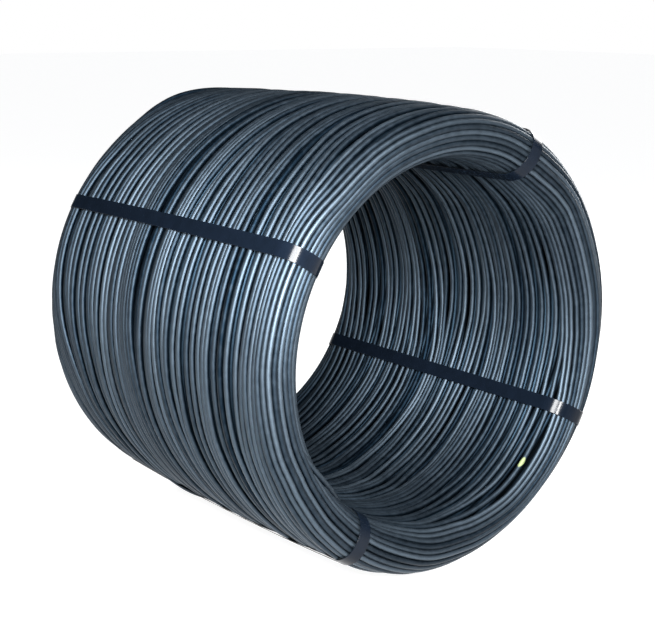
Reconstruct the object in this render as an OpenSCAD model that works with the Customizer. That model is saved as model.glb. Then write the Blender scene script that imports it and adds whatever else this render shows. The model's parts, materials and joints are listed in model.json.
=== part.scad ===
// Coil of wire rod lying on its side, tied with four flat steel straps.
// The coil's axis is X, with the eye's middle at the origin, and Z is up.

/* [Coil] */
// Clear diameter of the eye
eye_d = 770; // [400:10:1100]
// Thickness of the wound wall at the middle of the barrel
wall = 115; // [60:5:250]
// Length along the axis, over the end turns
coil_length = 850; // [400:10:1600]
// Radius of the slight barrel along the outside
barrel_r = 9300; // [4000:100:40000]
// Rounding at the outer edge of each end
shoulder_r = 42; // [20:1:70]
// Rounding at the mouth of the eye
mouth_r = 58; // [20:1:80]

/* [Wire rod] */
// Diameter of the rod
rod_d = 12; // [5.5:0.5:16]
// Least space between neighbouring turns
rod_space = 0.6; // [0.2:0.1:3]
// Depth of the groove between neighbouring turns
groove_depth = 3; // [1:0.5:5]
// Bright band that the winding mandrel leaves on the crests inside the eye, as a depth
crest_rub = 0.3; // [0.1:0.1:0.8]

/* [Straps] */
// Width of the strap
strap_w = 32; // [16:1:50]
// Thickness of the strap
strap_t = 0.9; // [0.5:0.1:1.5]
// Space between a strap and the crests it lies on
strap_space = 0.6; // [0.45:0.05:0.8]
// Places of the four straps round the coil, in degrees up from +Y
strap_places = [61, 149.5, 236, 331]; // [0:0.5:359.5]

/* [Hidden] */
outer_r = eye_d / 2 + wall;
crest_r = eye_d / 2 - crest_rub;
half = coil_length / 2;
rod_r = rod_d / 2;
arc_steps = 24;
$fn = 96;

// Roundings of each end, limited so that both fit in the wall
barrel_drop = barrel_r - sqrt(barrel_r * barrel_r - half * half);
rounding = min(1, (outer_r - crest_r - barrel_drop) / (shoulder_r + mouth_r));
shoulder = shoulder_r * rounding;
mouth = mouth_r * rounding;

// Section corners, as [radius, along the axis]
barrel_c = outer_r - barrel_r;
shoulder_z = half - shoulder;
barrel_a = asin(shoulder_z / (barrel_r - shoulder));
shoulder_c = barrel_c + (barrel_r - shoulder) * cos(barrel_a);
mouth_c = crest_r + mouth;
mouth_z = half - mouth;

// Lengths along the rods' middles, from the middle of the outside to the middle of the eye
rad = PI / 180;
len_barrel = (barrel_r - rod_r) * barrel_a * rad;
len_shoulder = len_barrel + (shoulder - rod_r) * (90 - barrel_a) * rad;
len_end = len_shoulder + shoulder_c - mouth_c;
len_mouth = len_end + (mouth - rod_r) * 90 * rad;
len_half = len_mouth + mouth_z;
turns_half = floor(len_half / (rod_d + rod_space));
turn_pitch = len_half / turns_half;

// A point at angle a on an arc, as [radius, along the axis]
function on_arc(r, z, size, a) = [r + size * cos(a), z + size * sin(a)];

// The middle of the rod at a length s along the half section
function rod_at(s) =
    s < len_barrel ? on_arc(barrel_c, 0, barrel_r - rod_r, s / (barrel_r - rod_r) / rad) :
    s < len_shoulder ? on_arc(shoulder_c, shoulder_z, shoulder - rod_r,
        barrel_a + (s - len_barrel) / (shoulder - rod_r) / rad) :
    s < len_end ? [shoulder_c - (s - len_shoulder), half - rod_r] :
    s < len_mouth ? on_arc(mouth_c, mouth_z, mouth - rod_r,
        90 + (s - len_end) / (mouth - rod_r) / rad) :
    [crest_r + rod_r, mouth_z - (s - len_mouth)];

// Half of the section's outline, grown by g beyond the crests of the turns
function half_outline(g) = concat(
    [for (i = [0 : arc_steps - 1]) on_arc(barrel_c, 0, barrel_r + g, barrel_a * i / arc_steps)],
    [for (i = [0 : arc_steps]) on_arc(shoulder_c, shoulder_z, shoulder + g,
        barrel_a + (90 - barrel_a) * i / arc_steps)],
    [for (i = [0 : arc_steps]) on_arc(mouth_c, mouth_z, mouth + g, 90 + 90 * i / arc_steps)]);

// The whole outline, the second half being the mirror image of the first
function outline(g) = let (p = half_outline(g), n = len(p))
    concat(p, [for (i = [n - 1 : -1 : 1]) [p[i][0], -p[i][1]]]);

// Turns an axis along Z to lie along X
module laid() {
    rotate([90, 0, 90]) children();
}

// The coil's wall: the turns show as rounded ridges outside, over the ends and inside the eye
module wall_section() {
    difference() {
        union() {
            polygon(outline(-groove_depth));
            for (i = [0 : turns_half - 1], side = [-1, 1]) {
                p = rod_at((i + 0.5) * turn_pitch);
                translate([p[0], side * p[1]]) circle(rod_r);
            }
        }
        translate([0, -coil_length]) square([eye_d / 2, 2 * coil_length]);
    }
}

module wire_coil() {
    color("#5d6f7e") laid() rotate_extrude() wall_section();
}

// A flat band bound round the wall, outside, over both ends and through the eye
module strap(k) {
    color("#26323f") laid() rotate([0, 0, strap_places[k]])
        rotate([90, 0, 0]) linear_extrude(strap_w, center = true) difference() {
            polygon(outline(strap_space + strap_t));
            polygon(outline(strap_space));
        }
}

module strap_1() {
    strap(0);
}

module strap_2() {
    strap(1);
}

module strap_3() {
    strap(2);
}

module strap_4() {
    strap(3);
}

wire_coil();
strap_1();
strap_2();
strap_3();
strap_4();
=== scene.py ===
# %% [markdown]
# # A coil of wire rod
# A rolling mill winds hot rod into a coil, lays the coil on its side and ties it with flat steel straps.
# This script dresses the imported model of such a coil. In its frame the coil's axis is X, Z is up and the
# middle of the eye is the origin. Everything is made in metres in that frame, so nothing has to be fitted
# afterwards.

# %% Load the frame
import json
import math

import bpy
import numpy as np
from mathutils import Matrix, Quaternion, Vector


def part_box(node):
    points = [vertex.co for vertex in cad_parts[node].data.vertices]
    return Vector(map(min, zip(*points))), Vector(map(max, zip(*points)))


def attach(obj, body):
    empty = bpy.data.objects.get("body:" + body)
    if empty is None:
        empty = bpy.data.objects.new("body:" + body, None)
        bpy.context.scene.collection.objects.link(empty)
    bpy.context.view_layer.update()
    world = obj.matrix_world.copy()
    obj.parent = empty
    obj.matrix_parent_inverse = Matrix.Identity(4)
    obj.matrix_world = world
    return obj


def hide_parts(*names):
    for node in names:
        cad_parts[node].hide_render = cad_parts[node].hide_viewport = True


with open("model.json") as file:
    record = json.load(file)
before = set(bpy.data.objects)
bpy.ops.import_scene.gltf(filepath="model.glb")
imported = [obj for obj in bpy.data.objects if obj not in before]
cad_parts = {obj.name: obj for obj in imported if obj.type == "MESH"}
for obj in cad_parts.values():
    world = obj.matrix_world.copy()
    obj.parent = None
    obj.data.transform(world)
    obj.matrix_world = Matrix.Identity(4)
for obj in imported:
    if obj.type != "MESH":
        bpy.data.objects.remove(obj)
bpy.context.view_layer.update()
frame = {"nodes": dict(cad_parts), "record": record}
MM = 0.001
print("nodes:", sorted(frame["nodes"]))

# %% [markdown]
# ## The coil's measures
# The box of the coil's node gives its length and its outside, the record's eye gives the bore, and the
# middles of the straps' boxes give their places round the coil. They could be typed in, but read from the
# frame they stay right when the part is resized. The roundings of the ends and the rod are sizes in
# millimetres, the same as in the part's source.

# %% Measures
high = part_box("wire_coil")[1]
eye = next(mount for mount in frame["record"]["mounts"] if mount["name"] == "eye")
HALF = high.x
OUTER_R = max(high.y, high.z)
CREST_RUB = 0.3 * MM
EYE_R = eye["dims"]["r_mm"] * MM - CREST_RUB
BARREL_R = 9300 * MM
SHOULDER_R = 42 * MM
MOUTH_R = 58 * MM
ROD_D = 12 * MM
ROD_R = ROD_D / 2
strap_middles = [sum(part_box(f"strap_{k}"), Vector()) / 2 for k in (1, 2, 3, 4)]
STRAP_PLACES = [math.atan2(middle.z, middle.y) for middle in strap_middles]
print(f"coil {2 * OUTER_R:.3f} m across, eye {2 * EYE_R:.3f} m, {2 * HALF:.3f} m long")
print("straps at", [round(math.degrees(place) % 360, 1) for place in STRAP_PLACES], "degrees")

# %% [markdown]
# ## The section that the turns follow
# Cut the coil along its axis, and the cut wall is a rounded bar: a slight barrel outside, a shoulder,
# a flat end, the rounded mouth of the eye and the straight eye. The far half is its mirror image.
# It could be drawn as a curve object and sampled, but every stretch is a line or an arc, so the place
# and the outward normal at any length along it are a short formula that works on whole arrays.

# %% Stretches of the section
STRETCHES = ("barrel", "shoulder", "end", "mouth", "eye")


def arc(x, r, size, start, end):
    """An arc, as its length and a function that gives place and normal along it."""

    def at(s):
        a = start + s / size
        return (x + size * np.sin(a), r + size * np.cos(a)), (np.sin(a), np.cos(a))

    return size * (end - start), at


def line(x, r, dx, dr, length):
    """A straight stretch, in the same form."""

    def at(s):
        return (x + dx * s, r + dr * s), (np.full_like(s, -dr), np.full_like(s, dx))

    return length, at


def half_stretches(inset):
    """The stretches from the middle of the outside to the middle of the eye, inset from the crests."""
    shoulder_x = HALF - SHOULDER_R
    lean = math.asin(shoulder_x / (BARREL_R - SHOULDER_R))
    barrel_c = OUTER_R - BARREL_R
    shoulder_c = barrel_c + (BARREL_R - SHOULDER_R) * math.cos(lean)
    mouth_c = EYE_R + MOUTH_R
    mouth_x = HALF - MOUTH_R
    return [
        arc(0.0, barrel_c, BARREL_R - inset, 0.0, lean),
        arc(shoulder_x, shoulder_c, SHOULDER_R - inset, lean, math.pi / 2),
        line(HALF - inset, shoulder_c, 0.0, -1.0, shoulder_c - mouth_c),
        arc(mouth_x, mouth_c, MOUTH_R - inset, math.pi / 2, math.pi),
        line(mouth_x, EYE_R + inset, -1.0, 0.0, mouth_x),
    ]


for stretch, (length, _) in zip(STRETCHES, half_stretches(ROD_R)):
    print(f"{stretch}: {length / MM:.0f} mm")

# %% [markdown]
# ## Any place along the section
# A length along the section, from the middle of the outside round to where it began, names one place on
# the coil's skin. A length in the far half is mirrored into the near half, looked up and mirrored back.
# Some things differ on the ends, so one more function says how much of an end each place is.

# %% Places along the section
ROUNDING = 1e-9
END_REACH = 3.0


def section_length(inset):
    """Length once round the closed section."""
    return 2 * sum(length for length, _ in half_stretches(inset))


def section_at(s, inset):
    """Place (x, r) and outward normal at lengths s along the closed section, inset from the crests."""
    whole = section_length(inset)
    s = np.mod(s, whole)
    far = s > whole / 2
    s = np.where(far, whole - s, s)
    x, r = np.zeros_like(s), np.zeros_like(s)
    nx, nr = np.zeros_like(s), np.ones_like(s)
    begin = 0.0
    for length, at in half_stretches(inset):
        here = (s >= begin) & (s <= begin + length + ROUNDING)
        (px, pr), (qx, qr) = at(s[here] - begin)
        x[here], r[here], nx[here], nr[here] = px, pr, qx, qr
        begin += length
    return np.where(far, -x, x), r, np.where(far, -nx, nx), nr


def on_end(nx):
    """1 on the ends, 0 along the outside and the eye, and between them on the roundings."""
    return np.clip(END_REACH * np.abs(nx), 0.0, 1.0)


print(f"the section is {section_length(ROD_R):.3f} m round")

# %% [markdown]
# ## Smooth random numbers
# On a real coil nothing repeats, and nothing jumps: gaps, depths and shades change slowly along the rod.
# Blender's noise textures give such numbers too, but inside a material. Here random knots along the rod
# are joined by a smooth curve that closes on itself. A fixed seed gives the same coil at every run.

# %% Smooth noise
SEED = 7
rng = np.random.default_rng(SEED)


def smooth_noise(turns, steps, knots_per_turn):
    """Smooth random numbers of spread 1 along a rod of so many turns, closed on itself."""
    knots = rng.standard_normal(turns * knots_per_turn)
    u = np.arange(turns * steps) / steps * knots_per_turn
    k = np.floor(u).astype(int)
    t = u - k
    p = [knots[(k + i) % len(knots)] for i in (-1, 0, 1, 2)]
    curve = 0.5 * (
        2 * p[1] + (p[2] - p[0]) * t + (2 * p[0] - 5 * p[1] + 4 * p[2] - p[3]) * t**2
        + (3 * p[1] - p[0] - 3 * p[2] + p[3]) * t**3
    )
    return (curve / curve.std()).reshape(turns, steps)


print("random numbers start from seed", SEED)

# %% [markdown]
# ## How many turns there are
# Turns are pressed together on the ends and lie looser along the outside and in the eye, so each part of
# the section has its own spacing. Two layers show: the top one, and the one below it in the gaps.
# A fixed number of turns with one spacing would be simpler, but it would look like a screw thread.
# Counting along the section at the spacing wanted there gives evenly crept turns to start from.

# %% Evenly crept turns
# Spacing of the turns along the outside, on the ends and in the eye
TOP_PITCHES = (17.6 * MM, 11.5 * MM, 16.6 * MM)
UNDER_PITCHES = (15.5 * MM, 12.8 * MM, 14.5 * MM)
TOP_INSET = ROD_R
UNDER_INSET = ROD_R + 10.4 * MM
TOP_STEPS, UNDER_STEPS = 192, 120
SECTION_SAMPLES = 4001


def even_places(inset, steps, outside_pitch, end_pitch, eye_pitch):
    """Lengths along the section for evenly crept turns, and the pitch there, one row a turn."""
    s = np.linspace(0.0, section_length(inset), SECTION_SAMPLES)
    nx, nr = section_at(s, inset)[2:]
    open_pitch = np.where(nr > 0, outside_pitch, eye_pitch)
    pitch = open_pitch + (end_pitch - open_pitch) * on_end(nx)
    count = np.append(0.0, np.cumsum(np.diff(s) / pitch[1:]))
    turns = round(count[-1])
    wanted = (np.arange(turns)[:, None] + np.arange(steps) / steps) / turns * count[-1]
    return np.interp(wanted, count, s), np.interp(wanted, count, pitch)


print(len(even_places(TOP_INSET, TOP_STEPS, *TOP_PITCHES)[0]), "turns in the top layer")
print(len(even_places(UNDER_INSET, UNDER_STEPS, *UNDER_PITCHES)[0]), "turns in the layer below")

# %% [markdown]
# ## How the turns lie
# The rod is one long piece. On the real coil it runs round and round, creeping along the section, and the
# turns lie in bunches: some nestle together, and some leave a gap in which the turns below show dark.
# So the gap after each turn is a smooth random number, and the places are the running sum of rod widths
# and gaps, scaled to close on itself. A running sum drifts, so part of its slow drift is taken out.
# A physics simulation of the rod would lie truer, but it would take hours. Instead the turns settle:
# those that lie too close are pushed apart, and those with too wide a gap are drawn together.

# %% Laying the turns
GAP_KNOTS = 5
BUNCHING = 0.15
DRIFT_TURNS = 14
DRIFT_KEPT = 0.7
# Nestled turns lie a little higher and lower, so their middles come closer than a rod's width
LEAST_ROOM = 0.92 * ROD_D
MOST_ROOM = ROD_D + 11 * MM
SETTLE_PASSES = 60


def settle(places, whole):
    """Pushes close turns apart and draws far ones together, all the way round the section."""
    for _ in range(SETTLE_PASSES):
        after = np.roll(places, -1, axis=0)
        after[-1] += whole
        room = after - places
        push = (np.clip(room, LEAST_ROOM, MOST_ROOM) - room) / 2
        places = places - push + np.roll(push, 1, axis=0)
    return places


def lay_turns(inset, steps, pitches):
    """Lengths along the section, one row a turn and one column a step round the coil."""
    whole = section_length(inset)
    even, pitch = even_places(inset, steps, *pitches)
    turns = len(even)
    gaps = np.maximum(0.0, smooth_noise(turns, steps, GAP_KNOTS) + BUNCHING)
    gaps *= np.maximum(0.0, pitch - LEAST_ROOM) / gaps.mean()
    room = LEAST_ROOM + gaps
    room *= whole / room.sum(axis=0)
    places = room[0, 0] * np.arange(steps) / steps + np.cumsum(room, axis=0) - room
    drift = np.fft.rfft(places - even, axis=0)
    slow = np.exp(-((np.arange(len(drift)) / (turns / DRIFT_TURNS)) ** 2))
    places -= (1 - DRIFT_KEPT) * np.fft.irfft(drift * slow[:, None], n=turns, axis=0)
    return settle(places, whole)


print(f"turns settle {LEAST_ROOM / MM:.1f} to {MOST_ROOM / MM:.1f} mm apart")

# %% [markdown]
# ## Sweeping the rod
# A curve with a round bevel would sweep the rod too, but a mesh made from arrays is quicker here and lets
# every point carry a tone, which the material reads as a shade. First comes the rod's middle line with
# two directions across it: out of the coil, and to the side. The ends of neighbouring stretches of rod
# meet at one seam, under the lower left strap, so the rod looks unbroken.

# %% The rod's middle line
SEAM = STRAP_PLACES[2]


def rod_path(lengths, angle, depth, inset):
    """Middles of a rod and its two cross directions, from lengths along the section and angles round it."""
    x, r, nx, nr = section_at(lengths, inset)
    x, r = x - nx * depth, r - nr * depth
    c, s = np.cos(angle), np.sin(angle)
    middle = np.stack([x, r * c, r * s], axis=-1)
    out = np.stack([nx, nr * c, nr * s], axis=-1)
    along = np.gradient(middle, axis=0)
    along /= np.linalg.norm(along, axis=1, keepdims=True)
    side = np.cross(along, out)
    side /= np.linalg.norm(side, axis=1, keepdims=True)
    return middle, np.cross(side, along), side


print(f"the seam is at {math.degrees(SEAM) % 360:.1f} degrees round the coil")

# %% [markdown]
# ## Meshes and their UV map
# Every piece becomes a mesh object in the same way: points, faces, smooth shading, and flat caps where a
# tube ends. A UV map runs along and round the rod, one strip to a turn, for painting or baking. Blender
# could unwrap the tubes, but the places on a strip are known, so writing them down is quicker and neater.

# %% New pieces
STRIP_MARGIN = 0.05
CAP_UV = 0.001


def new_piece(name, points, faces, flat_caps=0):
    """A mesh object that shades smooth, apart from its last few faces where they are caps."""
    mesh = bpy.data.meshes.new(name)
    mesh.from_pydata(points.reshape(-1, 3).tolist(), [], faces)
    mesh.polygons.foreach_set("use_smooth", [True] * (len(faces) - flat_caps) + [False] * flat_caps)
    mesh.validate()
    piece = bpy.data.objects.new(name, mesh)
    bpy.context.scene.collection.objects.link(piece)
    return piece


def triangles(piece):
    """Number of triangles in a piece's mesh."""
    return len(piece.data.loops) - 2 * len(piece.data.polygons)


def tube_uv(count, sides, turn_steps):
    """UV corners of a tube's quads and its two caps."""
    ring, j = np.arange(count - 1), np.arange(sides)
    strip, along = ring // turn_steps, (ring % turn_steps) / turn_steps
    u = np.stack([along, along, along + 1 / turn_steps, along + 1 / turn_steps], axis=-1)
    u = np.repeat(u[:, None, :], sides, axis=1)
    v = np.stack([j, j + 1, j + 1, j], axis=-1) / sides
    v = strip[:, None, None] + STRIP_MARGIN + (1 - 2 * STRIP_MARGIN) * v[None]
    v = v / math.ceil((count - 1) / turn_steps)
    caps = np.full((2 * sides, 2), CAP_UV)
    return np.concatenate([np.stack([u, v], axis=-1).reshape(-1, 2), caps])


print(f"a turn's strip leaves {STRIP_MARGIN:.0%} free at either side")

# %% [markdown]
# ## A stretch of rod
# A stretch is a closed tube: rings of points round the middle line, quads between them and a cap at either
# end. The tone is full on the crest that faces out and falls to nothing at the flanks, where the turns
# touch: painted shade between the turns. That draws each turn as a fine light line.

# %% Rod pieces
TOP_SIDES, UNDER_SIDES = 12, 6


def rod_piece(name, path, sides, tone, turn_steps):
    """A stretch of rod along a path: a closed tube that carries its tone and a UV map."""
    middle, out, side = path
    count = len(middle)
    a = np.arange(sides) / sides * 2 * math.pi
    rings = middle[:, None] + ROD_R * (np.cos(a)[:, None] * out[:, None] + np.sin(a)[:, None] * side[:, None])
    row = np.arange(count - 1)[:, None] * sides
    j = np.arange(sides)
    k = (j + 1) % sides
    quads = np.stack([row + j, row + k, row + sides + k, row + sides + j], axis=-1).reshape(-1, 4)
    caps = [j[::-1].tolist(), ((count - 1) * sides + j).tolist()]
    piece = new_piece(name, rings, quads.tolist() + caps, flat_caps=2)
    # Painted shade: the tone falls from the outward crest to nothing at the flanks, between the turns
    tone = tone[:, None] * np.clip(np.cos(a), 0.0, 1.0)
    piece.data.attributes.new("tone", "FLOAT", "POINT").data.foreach_set("value", tone.ravel())
    uv = tube_uv(count, sides, turn_steps)
    piece.data.uv_layers.new(name="OFBake").data.foreach_set("uv", uv.ravel())
    print(f"{name}: {(count - 1) / turn_steps:.2f} turns, {triangles(piece)} triangles")
    return piece


print(f"the rod has {TOP_SIDES} sides on top and {UNDER_SIDES} in the layer below")

# %% [markdown]
# ## High, low and loose turns
# No turn lies quite level. Most sink a little between their neighbours, less so on the ends, where they
# are pressed flat. Two turns outside have sprung loose and stand off, as loose strands do on a real coil.
# Each could be moved by hand with proportional editing. A smooth bump in the depth, as wide as one turn
# and fading along it, does the same and is written down in one row.

# %% Depth of the turns
NESTLE_MEAN, NESTLE_SPREAD, NESTLE_KNOTS = 0.35, 0.5, 3
END_SHALLOWER = 0.45
# Loose turns: place along the axis, place round the coil, and how far each stands off
LOOSE_TURNS = [(-402 * MM, math.radians(106), 13 * MM), (-190 * MM, math.radians(247), 9 * MM)]
LOOSE_WIDTH = 0.7 * ROD_D
LOOSE_SPAN = math.radians(16)
OUTSIDE_FROM_R = EYE_R + 4 * ROD_D


def nestled(turns, steps, deepest):
    """How far the rod lies below the crests at each step."""
    share = NESTLE_MEAN + NESTLE_SPREAD * smooth_noise(turns, steps, NESTLE_KNOTS)
    depth = deepest * np.clip(share, 0.0, 1.0).ravel()
    return np.append(depth, depth[0])


def let_loose(depth, x, r, angle, loose):
    """The same depths with the loose turns standing off."""
    for loose_x, loose_angle, height in loose:
        aside = np.mod(angle - loose_angle + math.pi, 2 * math.pi) - math.pi
        near = np.exp(-(((x - loose_x) / LOOSE_WIDTH) ** 2) - (aside / LOOSE_SPAN) ** 2)
        depth = depth - height * near * (r > OUTSIDE_FROM_R)
    return depth


print(len(LOOSE_TURNS), "loose turns")

# %% [markdown]
# ## Shade of the turns
# Along a long rod the mill scale changes shade, so neighbouring turns differ. One material a turn would
# be heavy. Instead each turn draws a tone of its own, with a slow change along it, and the material turns
# the tone into a colour. Deep in the eye, away from the mouths, the tone is lowered as painted shade.

# %% Tone of the turns
TONE_MEAN, TONE_SPREAD = 0.5, 0.2
TONE_CHANGE, TONE_KNOTS = 0.08, 6
EYE_PAINTED_SHADE = 0.2
EYE_FADE = 4.0


def turn_tones(turns, steps, x, r, inset):
    """A tone from 0, dark, to 1, light, at each step along the rod."""
    own = np.repeat(rng.normal(TONE_MEAN, TONE_SPREAD, turns), steps)
    tone = own + TONE_CHANGE * smooth_noise(turns, steps, TONE_KNOTS).ravel()
    tone = np.append(tone, tone[0])
    in_eye = r < EYE_R + inset + ROD_D
    # Painted shade: deep in the eye the tone is lowered, fading out towards the mouths
    tone *= 1 - EYE_PAINTED_SHADE * in_eye * np.clip(EYE_FADE * (1 - np.abs(x) / HALF), 0.0, 1.0)
    return np.clip(tone, 0.0, 1.0)


print(f"turns deep in the eye are {EYE_PAINTED_SHADE:.0%} darker")

# %% [markdown]
# ## The turns that show
# Two layers are laid. The top layer is loose enough to leave gaps, and the layer under it closes them.
# Each layer is one run of rod over the whole section, and could be one mesh. It is cut where it passes
# from the outside over an end and into the eye, so that no mesh grows heavy and each has a plain name.

# %% Lay the top layer and the one below
PLACES = ["near_half_outside", "near_end", "near_half_eye", "far_half_eye", "far_end", "far_half_outside"]
TOP_DEEPEST, UNDER_DEEPEST = 5.5 * MM, 1.5 * MM


def cut_turns(places, inset):
    """Numbers of the turns at which the run passes from one place of the coil to the next."""
    ends = np.cumsum([length for length, _ in half_stretches(inset)])
    barrel_end, mouth_end, middle = ends[0], ends[3], ends[4]
    cuts = [barrel_end, mouth_end, middle, 2 * middle - mouth_end, 2 * middle - barrel_end]
    return [0] + [int(np.searchsorted(places[:, 0], cut)) for cut in cuts] + [len(places)]


def layer(prefix, inset, pitches, steps, sides, deepest, loose):
    """One run of rod over the whole section, as six pieces."""
    places = lay_turns(inset, steps, pitches)
    depth = nestled(len(places), steps, deepest)
    lengths = np.append(places.ravel(), places[0, 0] + section_length(inset))
    angle = SEAM + np.arange(len(lengths)) / steps * 2 * math.pi
    x, r, nx = section_at(lengths, inset)[:3]
    depth *= 1 - END_SHALLOWER * on_end(nx)
    depth = let_loose(depth, x, r, angle, loose)
    path = rod_path(lengths, angle, depth, inset)
    tone = turn_tones(len(places), steps, x, r, inset)
    cuts = cut_turns(places, inset)
    pieces = []
    for name, a, b in zip(PLACES, cuts, cuts[1:]):
        rows = slice(a * steps, b * steps + 1)
        pieces.append(rod_piece(f"{prefix}_{name}", [p[rows] for p in path], sides, tone[rows], steps))
    return pieces


top_turns = layer("turns", TOP_INSET, TOP_PITCHES, TOP_STEPS, TOP_SIDES, TOP_DEEPEST, LOOSE_TURNS)
under_turns = layer("under_turns", UNDER_INSET, UNDER_PITCHES, UNDER_STEPS, UNDER_SIDES, UNDER_DEEPEST, [])

# %% [markdown]
# ## A turn that crosses
# At the foot of the near mouth one turn leaves its neighbours, climbs over a few of them and dives in again.
# It could be bent out of the top layer, but then its neighbours would have to make room. It is a short
# stretch of the same rod that starts and ends below the top layer, so only the crossing shows.

# %% Crossing turn
DIVE, RISE = 14 * MM, 7 * MM
CROSSING_ANGLES = (196, 232)
CROSSING_LENGTHS = (0.475, 0.515)
CROSSING_TONES = (0.4, 0.7)
HUMP = 0.7


def crossing_turn(name):
    """A stretch of rod that rises over its neighbours from one length along the section to another."""
    start, end = CROSSING_ANGLES
    from_length, to_length = CROSSING_LENGTHS
    count = round((end - start) / 360 * TOP_STEPS) + 1
    t = np.linspace(0.0, 1.0, count)
    lengths = from_length + (to_length - from_length) * t * t * (3 - 2 * t)
    depth = DIVE - (DIVE + RISE) * np.sin(math.pi * t) ** HUMP
    path = rod_path(lengths, np.radians(np.linspace(start, end, count)), depth, TOP_INSET)
    return rod_piece(name, path, TOP_SIDES, np.full(count, rng.uniform(*CROSSING_TONES)), TOP_STEPS)


crossing = crossing_turn("crossing_turn_at_mouth")

# %% [markdown]
# ## The turns deep in the wall
# Deeper turns never catch the light, but without them daylight would show through the gaps. More layers
# of rod would cost hundreds of thousands of triangles that nobody sees, so one ridged ring, well below
# the second layer, stands for all of them. Its near-black colour is painted shade.

# %% Deep turns
DEEP_INSET = 25 * MM
RIDGE = 3 * MM
DEEP_STEPS = 72
POINTS_A_TURN = 3


def closed_quads(count, sides):
    """Quads over rings of points that close on themselves both ways."""
    i, j = np.arange(count)[:, None], np.arange(sides)[None]
    i2, j2 = (i + 1) % count, (j + 1) % sides
    quads = np.stack([i * sides + j, i2 * sides + j, i2 * sides + j2, i * sides + j2], axis=-1)
    return quads.reshape(-1, 4).tolist()


def ridged_ring(name):
    """A closed ring along the section with a ridge for each turn."""
    count = round(section_length(DEEP_INSET) / ROD_D) * POINTS_A_TURN
    s = np.arange(count) / count * section_length(DEEP_INSET)
    x, r, nx, nr = section_at(s, DEEP_INSET)
    ridge = RIDGE * np.abs(np.sin(np.arange(count) / POINTS_A_TURN * math.pi))
    x, r = x + nx * (ridge - RIDGE), r + nr * (ridge - RIDGE)
    angle = np.arange(DEEP_STEPS)[:, None] / DEEP_STEPS * 2 * math.pi
    along = np.broadcast_to(x, (DEEP_STEPS, count))
    points = np.stack([along, r * np.cos(angle), r * np.sin(angle)], axis=-1)
    piece = new_piece(name, points, closed_quads(DEEP_STEPS, count))
    tone = np.zeros(DEEP_STEPS * count)
    piece.data.attributes.new("tone", "FLOAT", "POINT").data.foreach_set("value", tone)
    print(f"{name}: {triangles(piece)} triangles")
    return piece


deep_turns = ridged_ring("deep_turns")

# %% [markdown]
# ## The straps
# Each strap is a flat steel band pulled tight round the wall: outside, over both ends and through the eye.
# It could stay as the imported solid, but its bends carry the brightest glints, so it is swept here with
# fine steps and softly broken edges. It is flat across its width and dips a little between the crests.

# %% Straps
STRAP_W = 32 * MM
STRAP_T = 0.9 * MM
STRAP_SPACE = 0.6 * MM
STRAP_RINGS = 420
STRAP_DIP = 0.12 * MM
STRAP_DIPS = 90
EDGE_R = 0.35 * MM


def strap(name, place):
    """A closed band round the wall at one place round the coil."""
    inset = -(STRAP_SPACE + STRAP_T / 2)
    s = np.arange(STRAP_RINGS) / STRAP_RINGS * section_length(inset)
    x, r, nx, nr = section_at(s, inset)
    dip = STRAP_DIP * np.abs(smooth_noise(1, STRAP_RINGS, STRAP_DIPS)[0])
    x, r = x - nx * dip, r - nr * dip
    c, w = math.cos(place), math.sin(place)
    out = np.stack([nx, nr * c, nr * w], axis=-1)
    middle = np.stack([x, r * c, r * w], axis=-1)
    across = np.array([0.0, -w, c])
    hw, ht = STRAP_W / 2, STRAP_T / 2
    rim = [
        (-hw, -ht + EDGE_R), (-hw + EDGE_R, -ht), (-hw + 2 * EDGE_R, -ht),
        (hw - 2 * EDGE_R, -ht), (hw - EDGE_R, -ht), (hw, -ht + EDGE_R),
    ]
    rim += [(-a, -b) for a, b in rim]
    rings = np.stack([middle + a * across + b * out for a, b in rim], axis=1)
    piece = new_piece(name, rings, closed_quads(STRAP_RINGS, len(rim)))
    print(f"{name}: {triangles(piece)} triangles")
    return piece


straps = [strap(f"steel_strap_{k + 1}", place) for k, place in enumerate(STRAP_PLACES)]

# %% [markdown]
# ## Materials
# Colours are written as sRGB hex values, as a paint chart gives them, and one function turns them to the
# linear values that shaders need. One small function adds a node with its settings and its links, so a
# material reads as a list of what it is made of.


# %% Material helpers
def linear(code):
    """An sRGB hex colour as linear RGBA."""
    parts = [int(code[i : i + 2], 16) / 255 for i in (1, 3, 5)]
    return [c / 12.92 if c <= 0.04045 else ((c + 0.055) / 1.055) ** 2.4 for c in parts] + [1.0]


def add(tree, kind, inputs=None, **settings):
    """Adds a node. An input is a value, or the output socket of another node."""
    node = tree.nodes.new(kind)
    for key, value in settings.items():
        setattr(node, key, value)
    for key, value in (inputs or {}).items():
        if isinstance(value, bpy.types.NodeSocket):
            tree.links.new(value, node.inputs[key])
        else:
            node.inputs[key].default_value = value
    return node


def new_material(name):
    """An empty material, its node tree and its output node."""
    material = bpy.data.materials.new(name)
    material.use_nodes = True
    tree = material.node_tree
    tree.nodes.clear()
    return material, tree, add(tree, "ShaderNodeOutputMaterial")


print("a grey of #808080 is", round(linear("#808080")[0], 3), "in linear light")

# %% [markdown]
# ### Where the dab of paint is
# One turn near the mouth of the eye carries a small dab of yellow-green paint, such as mills put on rod to
# mark it. An extra piece of mesh would stand off the rod, so the dab is part of the rod's material: a soft
# ellipsoid in space, and what lies inside it is painted. Its middle is put on the nearest crest.

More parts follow.
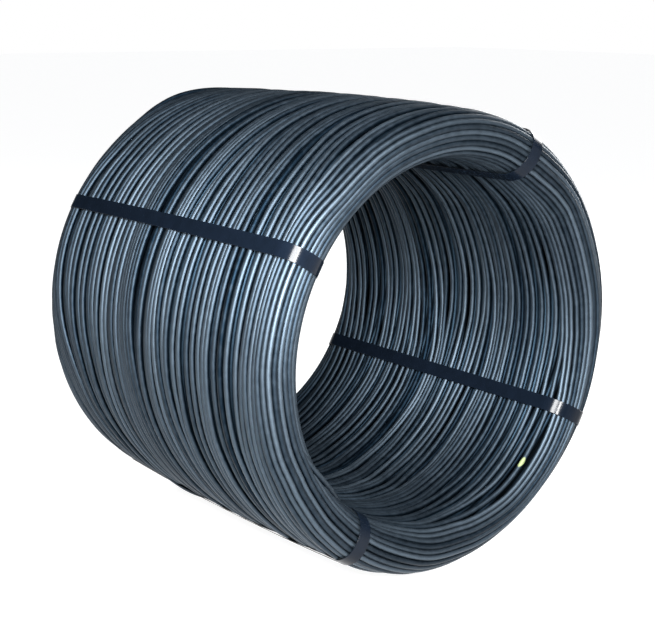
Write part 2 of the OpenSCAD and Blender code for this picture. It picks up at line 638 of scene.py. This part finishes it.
# %% Place of the paint
PAINT_X, PAINT_ANGLE = 396 * MM, math.radians(309.5)
PAINT_R = EYE_R + MOUTH_R - math.sqrt(MOUTH_R**2 - (PAINT_X - HALF + MOUTH_R) ** 2)
PAINT_SIZE = (5 * MM, 8 * MM, 15 * MM)
crests = []
for piece in top_turns:
    points = np.empty(3 * len(piece.data.vertices))
    piece.data.vertices.foreach_get("co", points)
    crests.append(points.reshape(-1, TOP_SIDES, 3)[:, 0])
crests = np.concatenate(crests)
wanted = np.array([PAINT_X, PAINT_R * math.cos(PAINT_ANGLE), PAINT_R * math.sin(PAINT_ANGLE)])
PAINT_PLACE = crests[np.argmin(np.linalg.norm(crests - wanted, axis=1))]
print("the paint is at", PAINT_PLACE.round(3), "m")

# %% [markdown]
# ### Hot rolled steel rod
# Rod leaves the mill red hot and cools in the air, which covers it with thin blue-grey mill scale. To the
# eye it is a satin dark metal, blue-grey and a shade different from turn to turn, with lighter crests.
# A photo of steel could be wrapped round the rod, but nodes work at any distance and need no file.
# The tone that each point carries picks the shade, painted shade on the flanks and deep in the eye included.
# Flecks of scale break it up, and a fine grain keeps the highlights from being smooth. Steel is a metal, so
# its IOR stays at the default and its colour is its own reflection. The paint is no metal, so under the dab
# the metallic value falls to nothing.

# %% Rod material
FLECK = 14 * MM
FLECK_SHARE = 0.35
SMOOTHEST, ROUGHEST = 0.48, 0.64
# Real grain is about 0.1 mm, too fine to show, so it is drawn this coarse
GRAIN = 1.6 * MM
GRAIN_DEPTH = 0.2 * MM
GRAIN_STRENGTH = 0.2
PAINT_SOFT_FROM = 0.8


def rolled_steel(name, dark, light, paint=None):
    """Mill scale between two shades, with a dab of paint where a colour is given."""
    material, tree, out = new_material(name)
    place = add(tree, "ShaderNodeTexCoord").outputs["Object"]
    tone = add(tree, "ShaderNodeAttribute", attribute_name="tone").outputs["Fac"]
    fleck_noise = {"Vector": place, "Scale": 1 / FLECK, "Detail": 4.0}
    flecks = add(tree, "ShaderNodeTexNoise", fleck_noise).outputs["Fac"]
    shade = add(tree, "ShaderNodeMath", {0: flecks, 1: FLECK_SHARE, 2: tone}, operation="MULTIPLY_ADD")
    level = add(tree, "ShaderNodeMath", {0: shade.outputs[0], 1: FLECK_SHARE / 2}, operation="SUBTRACT")
    shades = {0: level.outputs[0], 6: linear(dark), 7: linear(light)}
    colour = add(tree, "ShaderNodeMix", shades, data_type="RGBA").outputs[2]
    rough = add(tree, "ShaderNodeMapRange", {"Value": flecks, "To Min": SMOOTHEST, "To Max": ROUGHEST})
    bare = 1.0
    if paint:
        patch = {"Vector": place, "Location": PAINT_PLACE, "Scale": PAINT_SIZE}
        patch["Rotation"] = (PAINT_ANGLE, 0.0, 0.0)
        dab = add(tree, "ShaderNodeMapping", patch, vector_type="TEXTURE").outputs["Vector"]
        reach = add(tree, "ShaderNodeVectorMath", {0: dab}, operation="LENGTH").outputs["Value"]
        fade = {"Value": reach, "From Min": PAINT_SOFT_FROM, "To Min": 1.0, "To Max": 0.0}
        cover = add(tree, "ShaderNodeMapRange", fade).outputs["Result"]
        painted = {0: cover, 6: colour, 7: linear(paint)}
        colour = add(tree, "ShaderNodeMix", painted, data_type="RGBA").outputs[2]
        bare = add(tree, "ShaderNodeMath", {0: 1.0, 1: cover}, operation="SUBTRACT").outputs[0]
    grain_noise = {"Vector": place, "Scale": 1 / GRAIN, "Detail": 2.0}
    grain = add(tree, "ShaderNodeTexNoise", grain_noise).outputs["Fac"]
    relief = {"Height": grain, "Strength": GRAIN_STRENGTH, "Distance": GRAIN_DEPTH}
    bump = add(tree, "ShaderNodeBump", relief).outputs["Normal"]
    steel = add(
        tree, "ShaderNodeBsdfPrincipled",
        {"Base Color": colour, "Metallic": bare, "Roughness": rough.outputs["Result"], "Normal": bump},
    )
    tree.links.new(steel.outputs["BSDF"], out.inputs["Surface"])
    print(f"{name}: {len(tree.nodes)} nodes")
    return material


# The top turns are light grey on their crests, with painted shade towards the flanks
top_steel = rolled_steel("hot_rolled_steel_rod", "#0b141c", "#454f58", paint="#565f3c")
# The turns below are a darker copy of the same steel, painted shade, and show as dark blue lines in the gaps
under_steel_painted_shade = rolled_steel("hot_rolled_steel_rod_below_painted_shade", "#070d14", "#283743")
# The deep turns are coloured near black: painted shade at the bottom of a gap
deep_steel_painted_shade = rolled_steel("hot_rolled_steel_rod_deep_painted_shade", "#020304", "#06090c")

# %% [markdown]
# ### Lacquered strapping
# Steel strapping is rolled thin and dipped in blue-black lacquer and wax. To the eye its flats are nearly
# black, and only at the bends does it throw a sharp white glint. A bare metal shader would mirror the pale
# floor along the whole band. Lacquer is no metal: its IOR is the default 1.5, and the wax film lowers its
# specular level, so that only a small strong light shows in it. Scuffs change colour and roughness a little.

# %% Strap material
SCUFF = 25 * MM
LACQUER_SMOOTHEST, LACQUER_ROUGHEST = 0.15, 0.24
WAXED_SPECULAR = 0.08


def lacquered_strapping(name, dark, light):
    """Blue-black lacquer with scuffs between two shades."""
    material, tree, out = new_material(name)
    place = add(tree, "ShaderNodeTexCoord").outputs["Object"]
    scuff_noise = {"Vector": place, "Scale": 1 / SCUFF, "Detail": 5.0}
    scuffs = add(tree, "ShaderNodeTexNoise", scuff_noise).outputs["Fac"]
    shades = {0: scuffs, 6: linear(dark), 7: linear(light)}
    colour = add(tree, "ShaderNodeMix", shades, data_type="RGBA").outputs[2]
    range_of = {"Value": scuffs, "To Min": LACQUER_SMOOTHEST, "To Max": LACQUER_ROUGHEST}
    rough = add(tree, "ShaderNodeMapRange", range_of).outputs["Result"]
    lacquer = add(
        tree, "ShaderNodeBsdfPrincipled",
        {"Base Color": colour, "Roughness": rough, "Specular IOR Level": WAXED_SPECULAR},
    )
    tree.links.new(lacquer.outputs["BSDF"], out.inputs["Surface"])
    print(f"{name}: {len(tree.nodes)} nodes")
    return material


# Nearly black along the flats, with a clear edge to the glints
strap_lacquer = lacquered_strapping("blue_black_lacquered_strapping", "#04070c", "#070c14")

# %% [markdown]
# ## Dressing the pieces
# Every piece takes its material, rides on the one body and stands for its node of the imported model.
# The imported nodes are then hidden, and stay in the model for collision.

# %% Material, ride and replace
rod_sets = [(top_turns + [crossing], top_steel), (under_turns, under_steel_painted_shade), ([deep_turns], deep_steel_painted_shade)]
for pieces, material in rod_sets:
    for piece in pieces:
        piece.data.materials.append(material)
        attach(piece, "root")
        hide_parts("wire_coil")
    print(f"{material.name}: {len(pieces)} pieces, {sum(triangles(piece) for piece in pieces)} triangles")
for k, piece in enumerate(straps):
    piece.data.materials.append(strap_lacquer)
    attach(piece, "root")
    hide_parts(f"strap_{k + 1}")
print(f"{strap_lacquer.name}: {len(straps)} pieces, {sum(triangles(piece) for piece in straps)} triangles")

# %% [markdown]
# ## The floor
# The coil lies on a pale matt floor. A painted floor lit from above would be grey near the coil and would
# need much light, which would also wash out the dark steel. So the floor glows softly by itself, as a
# light table does: it stays white everywhere and sends a little light up into the lower turns.

# %% Floor
FLOOR = 30.0
FLOOR_GLOW = 0.95
floor_z = -OUTER_R
corners = [(x * FLOOR, y * FLOOR, floor_z) for x, y in ((-1, -1), (1, -1), (1, 1), (-1, 1))]
floor_mesh = bpy.data.meshes.new("floor")
floor_mesh.from_pydata(corners, [], [(0, 1, 2, 3)])
floor = bpy.data.objects.new("floor", floor_mesh)
bpy.context.scene.collection.objects.link(floor)
floor_paint, tree, out = new_material("pale_matt_floor")
matt = add(
    tree, "ShaderNodeBsdfPrincipled",
    {
        "Base Color": linear("#8c8c8c"), "Roughness": 0.9,
        "Emission Color": linear("#ffffff"), "Emission Strength": FLOOR_GLOW,
    },
)
tree.links.new(matt.outputs["BSDF"], out.inputs["Surface"])
floor_mesh.materials.append(floor_paint)
print(f"floor at {floor_z:.3f} m")

# %% [markdown]
# ## The lamps
# The key light is near the camera and close to the coil, so the crests that face the camera are brightest
# and the far turns fall off. A small strong lamp to its right makes the white glints on the bends of the
# straps. A large one to the right lights the near end and the eye, and one behind keeps the back from
# going black. Sun lamps would be simpler, but they don't fall off and their shadows are hard.


# %% Lamps
def toward(azimuth, elevation):
    """The direction to a place round the coil, azimuth 0 being the side that looks along +Y."""
    a, e = math.radians(azimuth), math.radians(elevation)
    return Vector((math.sin(a) * math.cos(e), -math.cos(a) * math.cos(e), math.sin(e)))


def soft_light(name, azimuth, elevation, distance, size, power):
    """A round area lamp that shines at the coil: degrees, metres and watts."""
    data = bpy.data.lights.new(name, "AREA")
    data.shape = "DISK"
    data.size = size
    data.energy = power
    lamp = bpy.data.objects.new(name, data)
    lamp.location = toward(azimuth, elevation) * distance
    lamp.rotation_euler = (-lamp.location).to_track_quat("-Z", "Y").to_euler()
    bpy.context.scene.collection.objects.link(lamp)
    print(f"{name}: {power} W, {size} m across, {distance} m away")


soft_light("key_light", 49, 22, 2.0, 0.8, 240)
soft_light("right_light", 64, 20, 3.5, 0.4, 160)
soft_light("front_fill", 80, 40, 4.0, 2.5, 190)
soft_light("back_fill", 192, 14, 4.5, 3.0, 300)

# %% [markdown]
# ## The studio round it
# The steel mirrors what is round it. White walls near the horizon give a white background, and a dim
# ceiling keeps the tops of the turns dark, as in a studio with low lamps. A plain white world would be
# simpler, but it would turn the whole top of the coil pale. The standard view transform keeps white white.

# %% World
WALL, CEILING = "#ffffff", "#303b47"
WALL_TOP, CEILING_FROM = 0.05, 0.16
world = bpy.data.worlds.new("studio")
world.use_nodes = True
sky = world.node_tree
way = add(sky, "ShaderNodeTexCoord").outputs["Generated"]
height = add(sky, "ShaderNodeSeparateXYZ", {0: way}).outputs["Z"]
rise = {"Value": height, "From Min": WALL_TOP, "From Max": CEILING_FROM}
up = add(sky, "ShaderNodeMapRange", rise, interpolation_type="SMOOTHSTEP").outputs["Result"]
room = add(sky, "ShaderNodeMix", {0: up, 6: linear(WALL), 7: linear(CEILING)}, data_type="RGBA")
sky.links.new(room.outputs[2], sky.nodes["Background"].inputs["Color"])
bpy.context.scene.world = world
bpy.context.scene.view_settings.view_transform = "Standard"
print("walls", WALL, "and ceiling", CEILING)

# %% [markdown]
# ## The camera
# The camera's place, lens and slight tilt come from a fit of the coil's outline, eye and straps to the
# photograph. It could be placed by eye, but a fit of a known round shape is good to a few pixels. The lens
# is worked out from the focal length in pixels, and the shift from the point that the camera looks at.

# %% Camera
IMAGE_W, IMAGE_H = 655, 640
FOCAL_PX = 1335.5
CENTRE_PX = (325.8, 312.75)
CAMERA_AZIMUTH, CAMERA_ELEVATION = 50.94, 12.80
CAMERA_DISTANCE = 3.0705
CAMERA_ROLL = math.radians(0.5)
camera_data = bpy.data.cameras.new("camera")
camera_data.sensor_width = 36.0
camera_data.sensor_fit = "HORIZONTAL"
camera_data.lens = FOCAL_PX / IMAGE_W * camera_data.sensor_width
camera_data.shift_x = (IMAGE_W / 2 - CENTRE_PX[0]) / IMAGE_W
camera_data.shift_y = (CENTRE_PX[1] - IMAGE_H / 2) / IMAGE_W
camera = bpy.data.objects.new("camera", camera_data)
camera.location = toward(CAMERA_AZIMUTH, CAMERA_ELEVATION) * CAMERA_DISTANCE
roll = Quaternion((0, 0, 1), CAMERA_ROLL)
camera.rotation_euler = ((-camera.location).to_track_quat("-Z", "Y") @ roll).to_euler()
bpy.context.scene.collection.objects.link(camera)
bpy.context.scene.camera = camera
print(f"lens {camera_data.lens:.1f} mm, shift {camera_data.shift_x:.4f}, {camera_data.shift_y:.4f}")
